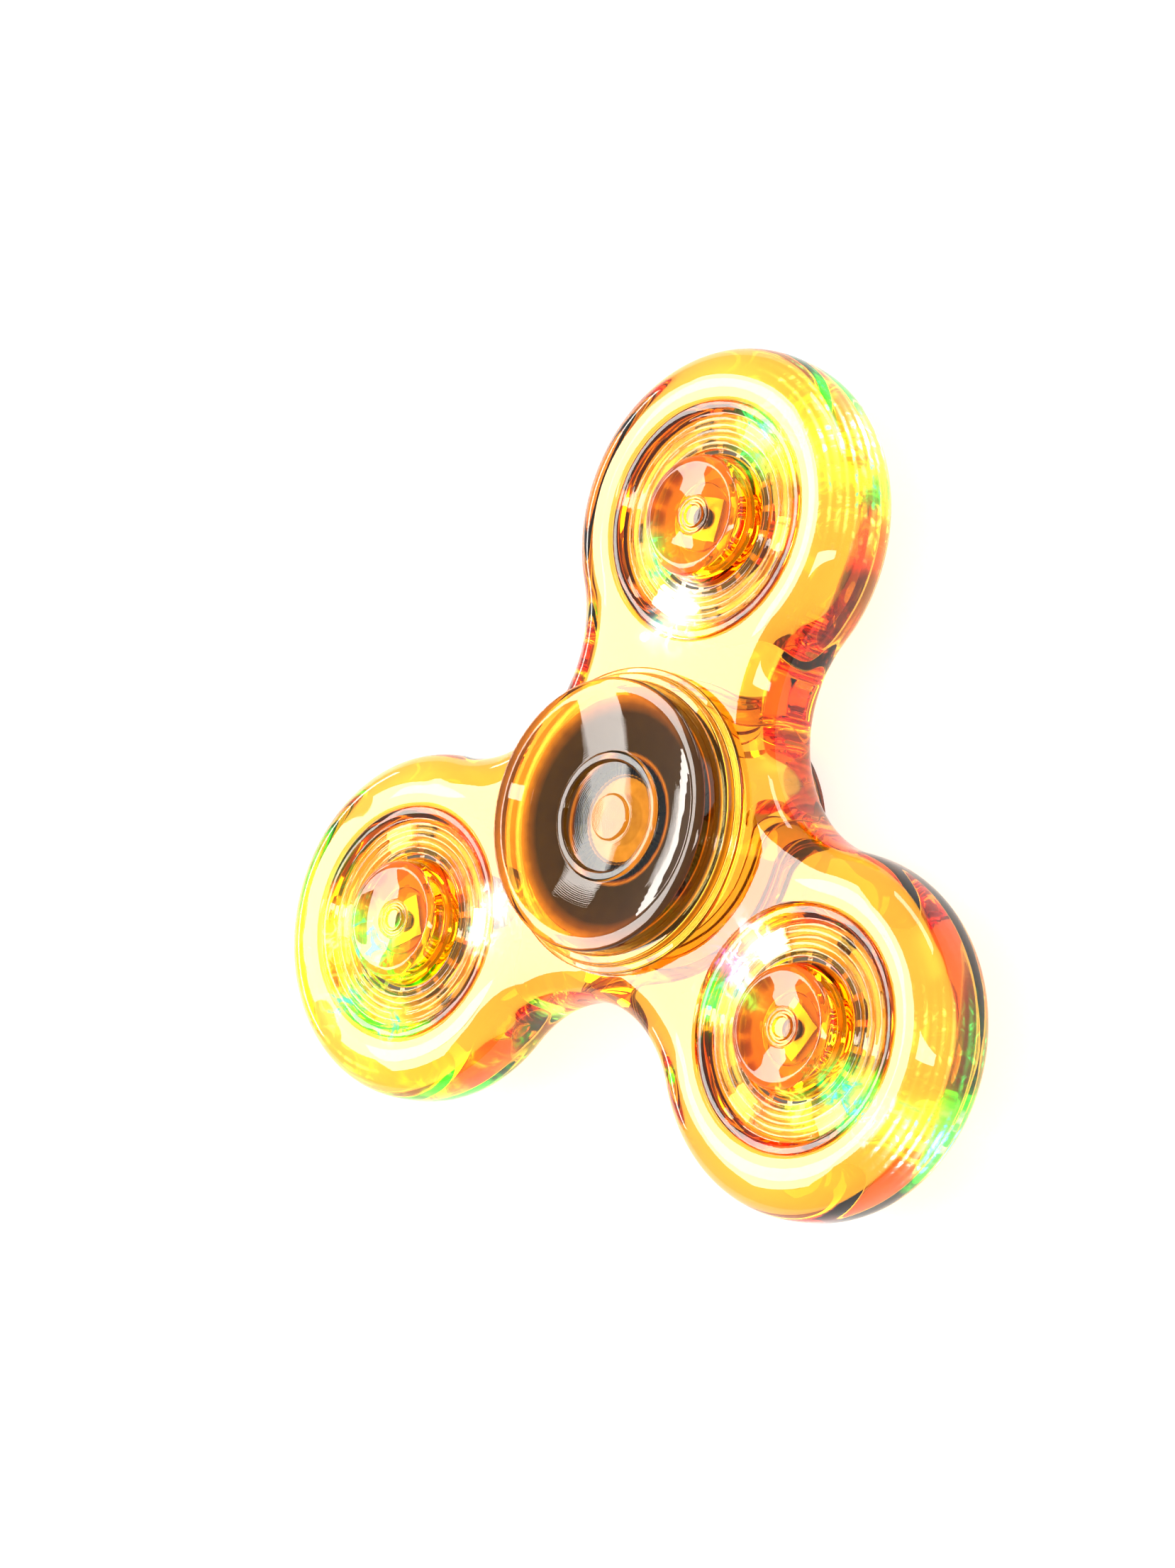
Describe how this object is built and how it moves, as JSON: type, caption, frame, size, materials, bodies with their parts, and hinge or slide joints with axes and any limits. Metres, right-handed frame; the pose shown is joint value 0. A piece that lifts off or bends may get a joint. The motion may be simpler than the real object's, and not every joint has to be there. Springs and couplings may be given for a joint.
{
  "type": "light-up fidget spinner",
  "caption": "Clear amber tri-lobe hand spinner with a ball bearing hub, dished finger caps and push-button light pods.",
  "frame": {"origin": "centre of the bearing: on the spin axis, half way through the body's thickness", "axes": "+Z along the spin axis, out of the front finger cap and the button side; +Y from the hub towards pod 1"},
  "size_m": [0.0754, 0.0694, 0.0164],
  "materials": {
    "clear_amber_body": "clear amber moulded polycarbonate, polished",
    "clear_amber_cap": "clear amber plastic with fine turning marks in the dish",
    "clear_amber_pod": "clear amber plastic, polished",
    "clear_amber_button": "clear amber plastic, polished",
    "bearing_steel": "ground bearing steel",
    "ball_steel": "polished steel balls",
    "cage_steel": "pressed steel, satin",
    "black_plastic": "black nylon",
    "tinned_steel": "tinned steel switch frame",
    "circuit_board": "pale solder mask over glass fibre",
    "green_light": "clear lens over a green chip, lit",
    "red_light": "clear lens over a red chip, lit",
    "blue_light": "clear lens over a blue-white chip, lit",
    "black_epoxy": "domed black epoxy over the chip",
    "chip_ceramic": "ceramic chip parts with tinned ends",
    "cell_steel": "nickel-plated steel can",
    "contact_brass": "sprung brass strip"
  },
  "bodies": {
    "finger_caps": {"finger_cap_front": "clear_amber_cap", "finger_cap_back": "clear_amber_cap", "bearing_inner_ring": "bearing_steel"},
    "rotor": {"spinner_body": "clear_amber_body", "bearing_outer_ring": "bearing_steel", "bearing_shield_front": "bearing_steel", "bearing_shield_back": "bearing_steel", "pod_cup_1": "clear_amber_pod", "pod_cover_1": "clear_amber_pod", "switch_case_1": "tinned_steel", "circuit_board_1": "circuit_board", "led_green_1": "green_light", "led_red_1": "red_light", "led_blue_1": "blue_light", "controller_blob_1": "black_epoxy", "chip_resistors_1": "chip_ceramic", "cell_upper_1": "cell_steel", "cell_lower_1": "cell_steel", "contact_plate_1": "contact_brass", "battery_clip_1": "contact_brass", "pod_cup_2": "clear_amber_pod", "pod_cover_2": "clear_amber_pod", "switch_case_2": "tinned_steel", "circuit_board_2": "circuit_board", "led_green_2": "green_light", "led_red_2": "red_light", "led_blue_2": "blue_light", "controller_blob_2": "black_epoxy", "chip_resistors_2": "chip_ceramic", "cell_upper_2": "cell_steel", "cell_lower_2": "cell_steel", "contact_plate_2": "contact_brass", "battery_clip_2": "contact_brass", "pod_cup_3": "clear_amber_pod", "pod_cover_3": "clear_amber_pod", "switch_case_3": "tinned_steel", "circuit_board_3": "circuit_board", "led_green_3": "green_light", "led_red_3": "red_light", "led_blue_3": "blue_light", "controller_blob_3": "black_epoxy", "chip_resistors_3": "chip_ceramic", "cell_upper_3": "cell_steel", "cell_lower_3": "cell_steel", "contact_plate_3": "contact_brass", "battery_clip_3": "contact_brass"},
    "ball_cage": {"bearing_cage": "cage_steel", "bearing_balls": "ball_steel"},
    "button_1": {"push_button_1": "clear_amber_button", "switch_plunger_1": "black_plastic"},
    "button_2": {"push_button_2": "clear_amber_button", "switch_plunger_2": "black_plastic"},
    "button_3": {"push_button_3": "clear_amber_button", "switch_plunger_3": "black_plastic"}
  },
  "joints": [
    {"name": "rotor_spin", "type": "hinge", "parent": "finger_caps", "child": "rotor", "pos_m": [0, 0, 0], "axis": [0, 0, 1], "continuous": true},
    {"name": "cage_spin", "type": "hinge", "parent": "finger_caps", "child": "ball_cage", "pos_m": [0, 0, 0], "axis": [0, 0, 1], "continuous": true},
    {"name": "button_press_1", "type": "slide", "parent": "rotor", "child": "button_1", "axis": [0, 0, -1], "range_m": [0, 0.00035], "stiffness_N_per_m": 400},
    {"name": "button_press_2", "type": "slide", "parent": "rotor", "child": "button_2", "axis": [0, 0, -1], "range_m": [0, 0.00035], "stiffness_N_per_m": 400},
    {"name": "button_press_3", "type": "slide", "parent": "rotor", "child": "button_3", "axis": [0, 0, -1], "range_m": [0, 0.00035], "stiffness_N_per_m": 400}
  ],
  "couplings": [
    {"joint": "cage_spin", "follows": "rotor_spin", "ratio": 0.6323}
  ]
}
